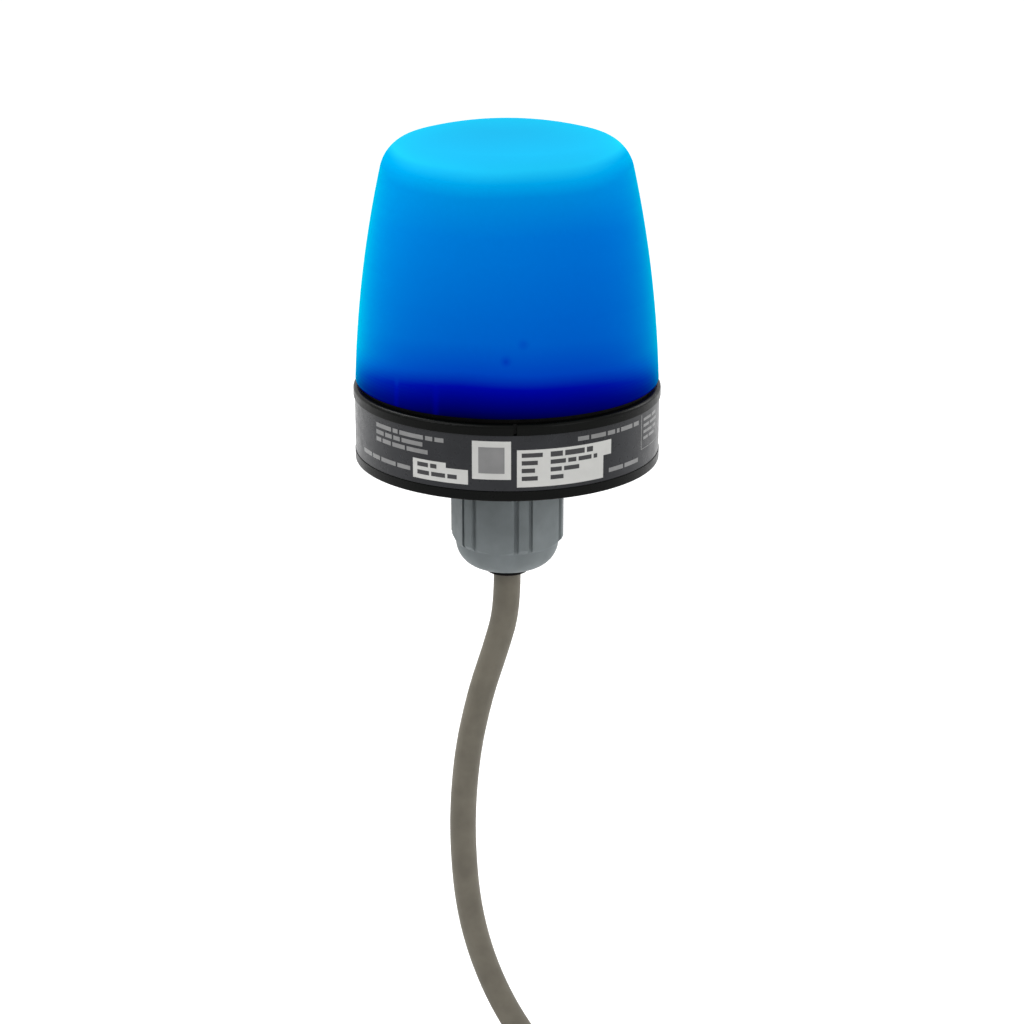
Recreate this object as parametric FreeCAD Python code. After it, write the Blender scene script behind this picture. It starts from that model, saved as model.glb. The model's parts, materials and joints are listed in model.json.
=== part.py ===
# Signal beacon: a lit translucent globe on a round base, with a cable gland and a lead below.
# Millimetres. The origin is the middle of the base's underside, and +Z points up into the globe.
# The front of the beacon, where the label is read, faces -Y.
import FreeCAD, Part
import math
import os
from FreeCAD import Vector

# Clearances that are shared by several pieces
running_gap = 0.3            # between pieces that move past each other
slip_gap = 0.05              # between pieces that are pushed together by hand
thread_gap = 0.06            # radial play of a moving thread

# Base housing
base_radius = 41.2
base_edge_round = 0.4
base_floor = 3.0
base_wall = 2.4
rim_lip = 0.2                # how far the rim stands out past the lower band
rim_top = 20.5
rim_round = 0.9
notch_width = 0.9            # mark on the rim that the globe is lined up with
notch_depth = 1.3
notch_angle = -87.0

# Label film in its shallow band
label_low = 2.65
label_high = 17.7
label_recess = 0.4
label_thickness = 0.2
label_margin = 0.15
label_seam = 1.2             # gap between the film's two ends, at the back

# Rubber ring under the globe
gasket_land = 1.1            # rim left standing outside the groove
gasket_width = 1.8
gasket_depth = 1.2
gasket_stand = 0.95          # height above the rim

# Globe
globe_setback = 0.4          # how far the globe stands inside the lower band
globe_wall = 2.2
globe_top = 90.1
globe_lean = 2.2             # inward lean of the side at its foot, degrees
globe_side_radius = 310.0
globe_shoulder_radius = 10.3
globe_crown_radius = 96.0
globe_foot_round = 0.5

# Bayonet between the globe and the collar of the base
bayonet_count = 3
bayonet_angle = 225.0        # closed end of the first catch
bayonet_reach = 1.6          # how far a catch stands out of the collar
bayonet_gap = 0.4
lug_rise = 1.35              # lug's underside above the globe's foot
lug_height = 2.2
lug_span = 18.0              # degrees
catch_span = 24.0
catch_height = 2.2
stop_span = 3.0
collar_wall = 1.8
collar_side_gap = 0.7        # globe's inside to the tip of a catch, at the foot
collar_over = 1.0            # collar above the catches

# Fixing points in the underside
fixing_inset = 11.2          # fixing point inside the base's side
fixing_count = 3
fixing_angle = 90.0
fixing_thread_radius = 2.0
insert_wall = 0.8
insert_length = 8.0
insert_pocket_spare = 1.0
insert_boss_wall = 1.8

# Light board on its three posts
board_low = 18.8
board_thickness = 1.6
board_gap = 0.6              # edge of the board to the collar
post_inset = 5.8             # post centre inside the board's edge
post_count = 3
post_angle = 30.0
post_radius = 3.4
post_web = 1.6
post_web_drop = 4.0          # top of the web below the top of the post
screw_radius = 1.5
screw_length = 8.0
screw_head_radius = 2.8
screw_head_height = 2.0
screw_head_round = 0.7

# Lamps and small parts on the board
lamp_count = 12
lamp_inset = 5.1             # lamp centre inside the board's edge
lamp_size = 5.0
lamp_height = 1.6
lamp_window_radius = 1.9
lamp_window_depth = 0.4
resistor_inset = 15.0
resistor_length = 2.0
resistor_width = 1.25
resistor_height = 0.6
capacitor_radius = 4.0
capacitor_height = 10.0
capacitor_round = 0.5
capacitor_inset = 13.8       # middle of each part inside the board's edge
capacitor_angles = (65.0, 115.0)
choke_inset = 13.7
choke_angle = 180.0
choke_size = 8.0
choke_height = 5.0
choke_round = 1.6
chip_inset = 15.3
chip_angle = 225.0
chip_length = 6.0
chip_width = 4.0
chip_height = 1.6
chip_leg_pitch = 1.27
chip_leg_width = 0.45
chip_leg_thickness = 0.4
chip_leg_reach = 1.0
chip_leg_count = 4
diode_inset = 13.1
diode_angle = -67.0
diode_length = 4.3
diode_width = 2.6
diode_height = 2.1
diode_pitch = 6.0

# Plug connection under the board
pin_pitch = 2.5
pin_size = 0.64
pin_slot = 0.9
pin_reach = 5.0              # pin's length inside the plug
pin_stand = 0.8              # pin's end above the board
shell_inset = 8.7            # back of the shell inside the board's edge
shell_depth = 9.0
shell_back = 2.0
shell_wall = 1.0
plug_height = 3.6
plug_end = 1.8               # plug past its outer pins
plug_reach = 3.5             # plug in front of the shell
plug_wire_depth = 3.5

# Cable and its cores
cable_radius = 3.75
core_radius = 0.7
core_ring_radius = 1.5       # circle that the cores lie on inside the jacket
core_ring_angle = 9.0
core_names = ("white", "blue", "red", "green", "black")
core_rise_near = 2.7         # height where a near core turns, above the jacket's end
core_rise_far = 5.0
core_fan_share = 0.6         # part of the way to the plug where the cores are spread
core_straight = 2.5
jacket_stand = 1.5           # jacket's end above the gland's thread

# Gland
seal_wall = 4.25
seal_lip = 2.15              # wall of the seal's nose, which shows in the nut's mouth
seal_nose_stand = 1.8        # nose past the nut
seal_nose_round = 0.4
pocket_gap = 0.1
finger_tip_wall = 0.8
finger_root_wall = 2.2
finger_count = 8
finger_slot = 1.1
finger_length = 8.5
spigot_wall = 3.3
spigot_length = 10.0
flange_wall = 2.1
flange_height = 5.1
gland_washer_thickness = 2.0
gland_recess = 0.5           # seat of the gland's washer, sunk into the underside
gland_recess_gap = 1.0       # seat's edge outside the flange's corners
gland_thread_radius = 10.0
gland_thread_spare = 1.5
gland_hole_gap = 0.2
gland_bore_wall = 4.6        # wall of the upper thread
gland_shoulder = 2.8         # bottom of the seal's pocket below the flange's top
locknut_wall = 3.5
locknut_height = 5.0
hex_chamfer = 1.0

# Gland nut
nut_gap = 0.5                # nut to flange when tight
nut_wall = 2.9
nut_corner_trim = 0.93       # corners turned down to the ribs' tops
nut_nose_inset = 0.2         # nose inside the flats
nut_grip_length = 17.4
nut_nose_length = 7.3
nut_nose_round = 7.2
nut_rib_width = 2.8
nut_groove_width = 1.0
nut_groove_depth = 1.4       # below the ribs' tops
nut_turn = -73.0             # direction of one rib
nut_mouth_gap = 0.5
nut_cone_gap = 0.4
nut_thread_length = 11.5
slip_washer_thickness = 1.2
slip_washer_width = 2.6

# Free lead: points from the seal's end to the coil, chosen by hand, then the tied coil
lead_route = (
    (0.0, 0.0, -45.0),
    (-3.0, 0.0, -56.5),
    (-7.8, 0.0, -71.5),
    (-11.9, 0.0, -92.0),
    (-13.2, -0.4, -117.0),
    (-10.6, -1.8, -144.0),
    (-1.8, -4.2, -168.5),
    (12.0, -6.5, -189.0),
    (27.6, -8.2, -205.0),
)
turn_share = 0.45            # part of the shorter run that an arc takes up
coil_radius = 41.0
coil_turns = 2
coil_pitch = 7.71
coil_slack = 0.35            # solid's skin outside the turns
tie_angle = 22.0
tie_width = 4.8
tie_thickness = 1.3
tie_gap = 0.2
tie_head = 6.5
tie_head_height = 4.5
end_drop = 26.0              # jacket past the coil's middle height
tail_length = 34.0
tail_spread = 1.4            # how far the cores part on their way down
tip_length = 6.0
tip_radius = 0.5

# Sizes that follow from those above
rim_radius = base_radius + rim_lip
recess_radius = base_radius - label_recess
inner_radius = recess_radius - base_wall
gasket_outer = rim_radius - rim_round - gasket_land
gasket_inner = gasket_outer - gasket_width
gasket_floor = rim_top - gasket_depth
gasket_top = rim_top + gasket_stand
globe_radius = base_radius - globe_setback
globe_foot = gasket_top + running_gap
collar_radius = globe_radius - globe_wall - collar_side_gap - bayonet_reach
collar_inner = collar_radius - collar_wall
catch_tip = collar_radius + bayonet_reach
lug_low = globe_foot + lug_rise
lug_high = lug_low + lug_height
catch_low = lug_high + bayonet_gap
catch_high = catch_low + catch_height
collar_top = catch_high + collar_over
board_radius = collar_inner - board_gap
board_top = board_low + board_thickness
post_circle = board_radius - post_inset
lamp_circle = board_radius - lamp_inset
resistor_circle = board_radius - resistor_inset
fixing_circle_radius = base_radius - fixing_inset
insert_radius = fixing_thread_radius + insert_wall
insert_boss_radius = insert_radius + insert_boss_wall
core_count = len(core_names)
plug_half = (core_count - 1) / 2 * pin_pitch + plug_end
shell_half = plug_half + slip_gap + shell_wall
shell_low = board_low - plug_height - 2 * (slip_gap + shell_wall)
pin_level = shell_low + shell_wall + slip_gap + plug_height / 2
shell_front = board_radius - shell_inset - shell_depth
plug_front = shell_front - plug_reach
plug_back = shell_front + shell_depth - shell_back - slip_gap
core_fan = core_fan_share * (plug_front - core_straight)
flange_top = gland_recess - gland_washer_thickness
flange_low = flange_top - flange_height
gland_hole = gland_thread_radius + gland_hole_gap
gland_thread_top = base_floor + locknut_height + gland_thread_spare
jacket_end = gland_thread_top + jacket_stand
seal_radius = cable_radius + seal_wall
seal_nose_radius = cable_radius + seal_lip
seal_top = flange_top - gland_shoulder
pocket_radius = seal_radius + pocket_gap
spigot_radius = pocket_radius + spigot_wall
flange_apothem = spigot_radius + flange_wall
gland_seat_radius = flange_apothem / math.cos(math.pi / 6) + gland_recess_gap
spigot_low = flange_low - spigot_length
finger_low = spigot_low - finger_length
finger_root_radius = pocket_radius + finger_root_wall
finger_tip_radius = pocket_radius + finger_tip_wall
seal_shoulder = finger_low - 2 * running_gap
slip_washer_top = seal_shoulder - running_gap
slip_washer_low = slip_washer_top - slip_washer_thickness
slip_washer_inner = seal_nose_radius + nut_cone_gap
slip_washer_outer = slip_washer_inner + slip_washer_width
nut_bore = spigot_radius + thread_gap
nut_apothem = nut_bore + nut_wall
nut_corner_radius = nut_apothem / math.cos(math.pi / 6) - nut_corner_trim
nut_nose_radius = nut_apothem - nut_nose_inset
nut_top = flange_low - nut_gap
nut_grip_low = nut_top - nut_grip_length
nut_low = nut_grip_low - nut_nose_length
nut_mouth = seal_nose_radius + nut_mouth_gap
nut_shoulder = slip_washer_low - running_gap
seal_low = nut_low - seal_nose_stand

AXIS = Vector(0, 0, 1)
ORIGIN = Vector(0, 0, 0)


def unit(vector):
    """The same direction, one long."""
    return Vector(vector).normalize()


def corner_arc(before, corner, after, radius):
    """Start, middle and end of the arc that rounds a corner between two straight runs."""
    back = unit(before - corner)
    on = unit(after - corner)
    half = back.getAngle(on) / 2
    reach = radius / math.tan(half)
    centre = corner + unit(back + on) * (radius / math.sin(half))
    return corner + back * reach, centre + unit(corner - centre) * radius, corner + on * reach


def rounded_wire(corners, closed):
    """Straight runs through (point, radius) corners, with a tangent arc where the radius isn't 0."""
    count = len(corners)
    edges = []
    ends = []
    for place, (corner, radius) in enumerate(corners):
        inside = closed or 0 < place < count - 1
        if radius > 0 and inside:
            before = corners[place - 1][0]
            after = corners[(place + 1) % count][0]
            start, middle, end = corner_arc(before, corner, after, radius)
            ends.append((start, end, Part.Arc(start, middle, end).toShape()))
        else:
            ends.append((corner, corner, None))
    for place, (start, end, arc) in enumerate(ends):
        if arc:
            edges.append(arc)
        last = place == count - 1
        if closed or not last:
            following = ends[(place + 1) % count][0]
            if end.distanceToPoint(following) > 1e-6:
                edges.append(Part.LineSegment(end, following).toShape())
    return Part.Wire(edges)


def section(outline):
    """Face in the XZ plane from (radius, height) corners, or (radius, height, rounding)."""
    corners = [(Vector(corner[0], 0, corner[1]), corner[2] if len(corner) > 2 else 0) for corner in outline]
    return Part.Face(rounded_wire(corners, True))


def turned(outline, start=0.0, sweep=360.0):
    """Solid of revolution about Z, whole or from one angle through a sweep."""
    solid = section(outline).revolve(ORIGIN, AXIS, sweep)
    solid.rotate(ORIGIN, AXIS, start)
    return solid


def ring(inner, outer, low, high, start=0.0, sweep=360.0):
    """Plain ring about Z, or a piece of one."""
    return turned([(inner, low), (outer, low), (outer, high), (inner, high)], start, sweep)


def block(low, high):
    """Box between two corners."""
    return Part.makeBox(high[0] - low[0], high[1] - low[1], high[2] - low[2], Vector(*low))


def rod(radius, low, high, place=(0.0, 0.0)):
    """Upright cylinder."""
    return Part.makeCylinder(radius, high - low, Vector(place[0], place[1], low))


def turned_copies(shape, count, first=0.0):
    """Copies spread evenly round Z."""
    copies = []
    for place in range(count):
        copy = shape.copy()
        copy.rotate(ORIGIN, AXIS, first + place * 360.0 / count)
        copies.append(copy)
    return copies


def fused(first, others):
    """One solid from several that overlap."""
    return first.fuse(others).removeSplitter()


def hexagon(apothem, low, high, direction=0.0):
    """Upright hexagonal prism with one corner in a given direction."""
    reach = apothem / math.cos(math.pi / 6)
    angles = [math.radians(direction + 60 * side) for side in range(7)]
    corners = [Vector(reach * math.cos(angle), reach * math.sin(angle), low) for angle in angles]
    return Part.Face(Part.makePolygon(corners)).extrude(Vector(0, 0, high - low))


def arc_about(centre, start, end):
    """Arc from start to end about a centre, the short way round."""
    radius = start.distanceToPoint(centre)
    middle = centre + unit(start + end - centre * 2) * radius
    return Part.Arc(start, middle, end).toShape()


def tube_along(wire, radius):
    """Round tube along a wire, closed at both ends."""
    first = wire.OrderedEdges[0]
    start = first.valueAt(first.FirstParameter)
    along = first.tangentAt(first.FirstParameter)
    if wire.OrderedVertexes[0].Point.distanceToPoint(start) > 1e-6:
        start = first.valueAt(first.LastParameter)
        along = first.tangentAt(first.LastParameter) * -1
    mouth = Part.Wire(Part.makeCircle(radius, start, along))
    return Part.Solid(wire.makePipeShell([mouth], True, False))


# Base, label and globe

def make_base_housing():
    """Moulded cup with a label band, a rim, a gasket groove, the bayonet collar, bosses and posts."""
    ledge_under = gasket_floor - base_wall
    cup = turned([
        (gland_hole, gland_recess),
        (gland_seat_radius, gland_recess),
        (gland_seat_radius, 0),
        (base_radius, 0, base_edge_round),
        (base_radius, label_low),
        (recess_radius, label_low),
        (recess_radius, label_high),
        (rim_radius, label_high),
        (rim_radius, rim_top, rim_round),
        (gasket_outer, rim_top),
        (gasket_outer, gasket_floor),
        (gasket_inner, gasket_floor),
        (gasket_inner, rim_top),
        (collar_radius, rim_top),
        (collar_radius, collar_top),
        (collar_inner, collar_top),
        (collar_inner, ledge_under),
        (inner_radius, ledge_under),
        (inner_radius, base_floor),
        (gland_hole, base_floor),
    ])
    inside_collar = collar_radius - collar_wall / 2
    catch = ring(inside_collar, catch_tip, catch_low, catch_high, 0, catch_span)
    stop = ring(inside_collar, catch_tip, lug_low, catch_high, -stop_span, stop_span)
    catches = turned_copies(catch.fuse(stop), bayonet_count, bayonet_angle)
    boss_top = insert_length + insert_pocket_spare + insert_boss_wall
    boss = rod(insert_boss_radius, base_floor / 2, boss_top, (fixing_circle_radius, 0))
    bosses = turned_copies(boss, fixing_count, fixing_angle)
    post = rod(post_radius, base_floor / 2, board_low, (post_circle, 0))
    web = block((post_circle, -post_web / 2, base_floor / 2),
                (inner_radius + base_wall / 2, post_web / 2, ledge_under - post_web_drop))
    posts = turned_copies(post.fuse(web), post_count, post_angle)
    body = fused(cup, catches + bosses + posts)
    pocket = rod(insert_radius, 0, insert_length + insert_pocket_spare, (fixing_circle_radius, 0))
    pilot = rod(screw_radius, board_low - screw_length, board_low, (post_circle, 0))
    notch = block((rim_radius - notch_depth, -notch_width / 2, label_high - label_margin),
                  (rim_radius + rim_lip, notch_width / 2, rim_top))
    cuts = turned_copies(pocket, fixing_count, fixing_angle)
    cuts += turned_copies(pilot, post_count, post_angle)
    cuts += turned_copies(notch, 1, notch_angle)
    return body.cut(cuts)


def make_label_band():
    """Thin film wrapped round the base, with its two ends at the back."""
    inner = recess_radius + slip_gap
    seam = math.degrees(label_seam / inner)
    return ring(inner, inner + label_thickness, label_low + label_margin, label_high - label_margin,
                90 + seam / 2, 360 - seam)


def make_globe_gasket():
    """Rubber ring pressed into the groove of the rim."""
    return ring(gasket_inner + slip_gap, gasket_outer - slip_gap, gasket_floor, gasket_top)


def circles_meet(centre_a, radius_a, centre_b, radius_b):
    """Outer meeting point of two circles in the XZ plane."""
    apart = centre_b - centre_a
    distance = apart.Length
    along = (radius_a ** 2 - radius_b ** 2 + distance ** 2) / (2 * distance)
    aside = math.sqrt(radius_a ** 2 - along ** 2)
    foot = centre_a + unit(apart) * along
    across = unit(Vector(apart.z, 0, -apart.x)) * aside
    return max(foot + across, foot - across, key=lambda point: point.x)


def globe_line(inset):
    """Half outline of the globe, foot to crown: a slow side arc, a shoulder and a low crown, moved in."""
    lean = math.radians(globe_lean)
    side_centre = Vector(globe_radius - globe_side_radius * math.cos(lean), 0,
                         globe_foot - globe_side_radius * math.sin(lean))
    crown_centre = Vector(0, 0, globe_top - globe_crown_radius)
    shoulder_centre = circles_meet(crown_centre, globe_crown_radius - globe_shoulder_radius,
                                   side_centre, globe_side_radius - globe_shoulder_radius)
    side = globe_side_radius - inset
    shoulder = globe_shoulder_radius - inset
    rise = globe_foot - side_centre.z
    foot = Vector(side_centre.x + math.sqrt(side ** 2 - rise ** 2), 0, globe_foot)
    side_end = shoulder_centre + unit(shoulder_centre - side_centre) * shoulder
    crown_start = shoulder_centre + unit(shoulder_centre - crown_centre) * shoulder
    apex = Vector(0, 0, globe_top - inset)
    arcs = [
        arc_about(side_centre, foot, side_end),
        arc_about(shoulder_centre, side_end, crown_start),
        arc_about(crown_centre, crown_start, apex),
    ]
    return foot, arcs, apex


def make_globe():
    """Blown-looking moulded globe of even wall, with bayonet lugs inside its foot."""
    foot, outside, apex = globe_line(0)
    inner_foot, inside, inner_apex = globe_line(globe_wall)
    edges = outside + [Part.LineSegment(apex, inner_apex).toShape()]
    edges += list(reversed(inside)) + [Part.LineSegment(inner_foot, foot).toShape()]
    shell = Part.Face(Part.Wire(edges)).revolve(ORIGIN, AXIS, 360)
    foot_edges = [edge for edge in shell.Edges if edge.BoundBox.ZMax < globe_foot + 1e-6
                  and edge.BoundBox.XMax > foot.x - 1e-3]
    shell = shell.makeFillet(globe_foot_round, foot_edges)
    lug_start = math.degrees(bayonet_gap / collar_radius)
    lug_tip = collar_radius + bayonet_gap
    lug = ring(lug_tip, inner_foot.x + globe_wall / 2, lug_low, lug_high, lug_start, lug_span)
    return fused(shell, turned_copies(lug, bayonet_count, bayonet_angle))


# Light board and what is on it

def on_board(inset, angle):
    """Place inside the board's edge, in a direction."""
    reach = board_radius - inset
    return reach * math.cos(math.radians(angle)), reach * math.sin(math.radians(angle))


def make_led_board():
    """Round circuit board with holes for its screws and for the connector's pins."""
    disc = rod(board_radius, board_low, board_top)
    hole = rod(screw_radius + slip_gap, board_low, board_top, (post_circle, 0))
    holes = turned_copies(hole, post_count, post_angle)
    pin_hole_radius = pin_size / math.sqrt(2) + slip_gap
    holes += [rod(pin_hole_radius, board_low, board_top, place) for place in pin_places()]
    return disc.cut(holes)


def make_leds():
    """Ring of square lamps, each with a round window in its top."""
    half = lamp_size / 2
    lamp_top = board_top + lamp_height
    case = block((lamp_circle - half, -half, board_top), (lamp_circle + half, half, lamp_top))
    window = rod(lamp_window_radius, lamp_top - lamp_window_depth, lamp_top, (lamp_circle, 0))
    return Part.makeCompound(turned_copies(case.cut(window), lamp_count, 180.0 / lamp_count))


def make_chip_resistors():
    """One small resistor inside each lamp."""
    low = (resistor_circle - resistor_length / 2, -resistor_width / 2, board_top)
    high = (resistor_circle + resistor_length / 2, resistor_width / 2, board_top + resistor_height)
    return Part.makeCompound(turned_copies(block(low, high), lamp_count, 180.0 / lamp_count))


def make_capacitors():
    """Upright cans hanging from the board."""
    can_low = board_low - capacitor_height
    can = turned([
        (0, can_low),
        (capacitor_radius, can_low, capacitor_round),
        (capacitor_radius, board_low),
        (0, board_low),
    ])
    cans = []
    for angle in capacitor_angles:
        x, y = on_board(capacitor_inset, angle)
        copy = can.copy()
        copy.translate(Vector(x, y, 0))
        cans.append(copy)
    return Part.makeCompound(cans)


def make_choke():
    """Square wound choke with rounded corners."""
    half = choke_size / 2
    x, y = on_board(choke_inset, choke_angle)
    core = block((x - half, y - half, board_low - choke_height), (x + half, y + half, board_low))
    uprights = [edge for edge in core.Edges if abs(edge.tangentAt(edge.FirstParameter).z) > 0.9]
    return core.makeFillet(choke_round, uprights)


def make_driver_chip():
    """Control chip with a row of legs on each side."""
    x, y = on_board(chip_inset, chip_angle)
    half_length = chip_length / 2
    half_width = chip_width / 2
    body = block((x - half_length, y - half_width, board_low - chip_height),
                 (x + half_length, y + half_width, board_low))
    leg_low = board_low - chip_leg_thickness
    leg_end = half_width + chip_leg_reach
    legs = []
    for place in range(chip_leg_count):
        middle = x + (place - (chip_leg_count - 1) / 2) * chip_leg_pitch
        legs.append(block((middle - chip_leg_width / 2, y - leg_end, leg_low),
                          (middle + chip_leg_width / 2, y + leg_end, board_low)))
    return fused(body, legs)


def make_diodes():
    """Four diodes in a square, which let the beacon take either polarity."""
    x, y = on_board(diode_inset, diode_angle)
    diodes = []
    for across in (-0.5, 0.5):
        for along in (-0.5, 0.5):
            low_x = x + across * diode_pitch - diode_length / 2
            low_y = y + along * diode_pitch - diode_width / 2
            diodes.append(block((low_x, low_y, board_low - diode_height),
                                (low_x + diode_length, low_y + diode_width, board_low)))
    return Part.makeCompound(diodes)


def make_board_screws():
    """Pan head screws that hold the board to its posts."""
    screw = turned([
        (0, board_low - screw_length),
        (screw_radius, board_low - screw_length),
        (screw_radius, board_top),
        (screw_head_radius, board_top),
        (screw_head_radius, board_top + screw_head_height, screw_head_round),
        (0, board_top + screw_head_height),
    ])
    screw.translate(Vector(post_circle, 0, 0))
    return Part.makeCompound(turned_copies(screw, post_count, post_angle))


def make_mounting_inserts():
    """Threaded brass bushes in the underside, which the beacon is fixed by."""
    bush = ring(fixing_thread_radius, insert_radius, 0, insert_length)
    bush.translate(Vector(fixing_circle_radius, 0, 0))
    return Part.makeCompound(turned_copies(bush, fixing_count, fixing_angle))


# Plug connection

def pin_rows():
    """Sideways place of each pin, core and wire hole, from one end of the plug to the other."""
    return [((core_count - 1) / 2 - place) * pin_pitch for place in range(core_count)]


def pin_places():
    """Where the pins go up through the board."""
    return [(shell_front + shell_depth - shell_back / 2, row) for row in pin_rows()]


def make_header_pins():
    """Square pins that reach into the plug, then turn up through the board."""
    half = pin_size / 2
    pins = []
    for across, row in pin_places():
        foot = pin_level - half
        level = block((plug_back - pin_reach, row - half, foot), (across + half, row + half, pin_level + half))
        upright = block((across - half, row - half, foot), (across + half, row + half, board_top + pin_stand))
        pins.append(fused(level, [upright]))
    return Part.makeCompound(pins)


def make_header_shell():
    """Open box under the board that the plug is pushed into, with its pins moulded in."""
    back = shell_front + shell_depth
    shell = block((shell_front, -shell_half, shell_low), (back, shell_half, board_low))
    room = block((shell_front, -plug_half - slip_gap, shell_low + shell_wall),
                 (back - shell_back, plug_half + slip_gap, board_low - shell_wall))
    return shell.cut([room, make_header_pins()])


def make_lead_plug():
    """Plug body with a wire hole at the front and a contact slot at the back for each core."""
    low = pin_level - plug_height / 2
    body = block((plug_front, -plug_half, low), (plug_back, plug_half, low + plug_height))
    cuts = []
    for row in pin_rows():
        mouth = Vector(plug_front, row, pin_level)
        hole = Part.makeCylinder(core_radius + slip_gap, plug_wire_depth, mouth, Vector(1, 0, 0))
        slot = block((plug_back - pin_reach - pin_slot, row - pin_slot / 2, pin_level - pin_slot / 2),
                     (plug_back, row + pin_slot / 2, pin_level + pin_slot / 2))
        cuts += [hole, slot]
    return body.cut(cuts)


def core_start(place):
    """Where a core lies in the jacket."""
    angle = math.radians(core_ring_angle + place * 360.0 / core_count)
    return core_ring_radius * math.cos(angle), core_ring_radius * math.sin(angle)


def make_inner_cores():
    """Each core from the jacket's end, up and over into its hole in the plug."""
    starts = sorted((core_start(place) for place in range(core_count)), key=lambda start: -start[1])
    cores = []
    for (x, y), row in zip(starts, pin_rows()):
        level = jacket_end + (core_rise_far if x < 0 else core_rise_near)
        points = [
            Vector(x, y, jacket_end),
            Vector(x, y, level),
            Vector(core_fan, row, level),
            Vector(plug_front - core_straight, row, pin_level),
            Vector(plug_front + plug_wire_depth, row, pin_level),
        ]
        cores.append(tube_along(soft_wire(points), core_radius))
    return cores


# Gland

def make_gland_washer():
    """Flat rubber ring between the gland's flange and the base."""
    return ring(gland_hole, flange_apothem, flange_top, gland_recess)


def chamfered_hexagon(apothem, low, high, chamfer_low, chamfer_high):
    """Hexagon whose corners are turned off at one end or both."""
    reach = apothem / math.cos(math.pi / 6)
    trim = hex_chamfer
    bottom = [(reach - trim, low), (reach, low + trim / 2)] if chamfer_low else [(reach, low)]
    top = [(reach, high - trim / 2), (reach - trim, high)] if chamfer_high else [(reach, high)]
    return hexagon(apothem, low, high).common(turned([(0, low)] + bottom + top + [(0, high)]))


def make_gland_body():
    """Hexagon flange, thread up through the base, thread down for the nut, and sprung fingers."""
    flange = chamfered_hexagon(flange_apothem, flange_low, flange_top, True, False)
    fingers = turned([
        (0, spigot_low),
        (finger_root_radius, spigot_low),
        (finger_tip_radius, finger_low),
        (0, finger_low),
    ])
    upper_thread = rod(gland_thread_radius, flange_top, gland_thread_top)
    lower_thread = rod(spigot_radius, spigot_low, flange_low)
    body = fused(flange, [upper_thread, lower_thread, fingers])
    pocket = rod(pocket_radius, finger_low, seal_top)
    bore = rod(gland_thread_radius - gland_bore_wall, seal_top, gland_thread_top)
    slot = block((0, -finger_slot / 2, finger_low), (spigot_radius, finger_slot / 2, spigot_low))
    return body.cut([pocket, bore] + turned_copies(slot, finger_count))


def make_gland_locknut():
    """Flat hexagon nut inside the base."""
    apothem = gland_thread_radius + locknut_wall
    plate = chamfered_hexagon(apothem, base_floor, base_floor + locknut_height, False, True)
    return plate.cut(rod(gland_thread_radius + thread_gap, base_floor, base_floor + locknut_height))


def make_gland_seal():
    """Rubber bush round the cable, with a slimmer nose that shows in the nut's mouth."""
    inner = cable_radius + slip_gap
    return turned([
        (inner, seal_low),
        (seal_nose_radius, seal_low, seal_nose_round),
        (seal_nose_radius, seal_shoulder),
        (seal_radius, seal_shoulder),
        (seal_radius, seal_top),
        (inner, seal_top),
    ])


def make_slip_washer():
    """Slippery ring that lets the nut turn without twisting the seal."""
    return ring(slip_washer_inner, slip_washer_outer, slip_washer_low, slip_washer_top)


def make_gland_nut():
    """Hexagon nut with a flat rib between grooves at each corner, a sloped end and a round nose."""
    slope_top = nut_grip_low + nut_corner_radius - nut_nose_radius
    turned_corners = turned([
        (0, nut_grip_low),
        (nut_nose_radius, nut_grip_low),
        (nut_corner_radius, slope_top),
        (nut_corner_radius, nut_top),
        (0, nut_top),
    ])
    grip = hexagon(nut_apothem, nut_grip_low, nut_top, nut_turn).common(turned_corners)
    groove_floor = nut_corner_radius - nut_groove_depth
    groove = block((groove_floor, nut_rib_width / 2, nut_grip_low),
                   (nut_corner_radius + nut_corner_trim, nut_rib_width / 2 + nut_groove_width, nut_top))
    mirrored = groove.mirror(ORIGIN, Vector(0, 1, 0))
    grip = grip.cut(turned_copies(groove, 6, nut_turn) + turned_copies(mirrored, 6, nut_turn))
    nose = turned([
        (0, nut_low),
        (nut_nose_radius, nut_low, nut_nose_round),
        (nut_nose_radius, nut_grip_low),
        (0, nut_grip_low),
    ])
    thread_low = nut_top - nut_thread_length
    cone_top = finger_root_radius + nut_cone_gap
    cone_low = max(finger_tip_radius, slip_washer_outer) + nut_cone_gap
    hollow = turned([
        (0, nut_low),
        (nut_mouth, nut_low),
        (nut_mouth, nut_shoulder),
        (cone_low, nut_shoulder),
        (cone_low, finger_low),
        (cone_top, thread_low),
        (nut_bore, thread_low),
        (nut_bore, nut_top),
        (0, nut_top),
    ])
    return fused(grip, [nose]).cut(hollow)


# Cable, coil and free end

def soft_wire(points):
    """Straight runs joined by arcs as large as the shorter of each two runs allows."""
    corners = [(points[0], 0)]
    for before, corner, after in zip(points, points[1:], points[2:]):
        half_turn = (corner - before).getAngle(after - corner) / 2
        run = min(before.distanceToPoint(corner), corner.distanceToPoint(after))
        corners.append((corner, turn_share * run / math.tan(half_turn)))
    corners.append((points[-1], 0))
    return rounded_wire(corners, False)


def lead_points():
    """The lead's route from the seal's end to the coil."""
    return [Vector(0, 0, seal_low)] + [Vector(*point) for point in lead_route]


def coil_centre():
    """Middle of the coil: its first turn goes on from the route's last run."""
    points = lead_points()
    last = unit(points[-1] - points[-2])
    heading = math.atan2(last.x, -last.z)
    start = points[-1]
    middle = Vector(start.x - coil_radius * math.cos(heading), 0, start.z - coil_radius * math.sin(heading))
    return middle, heading


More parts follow.
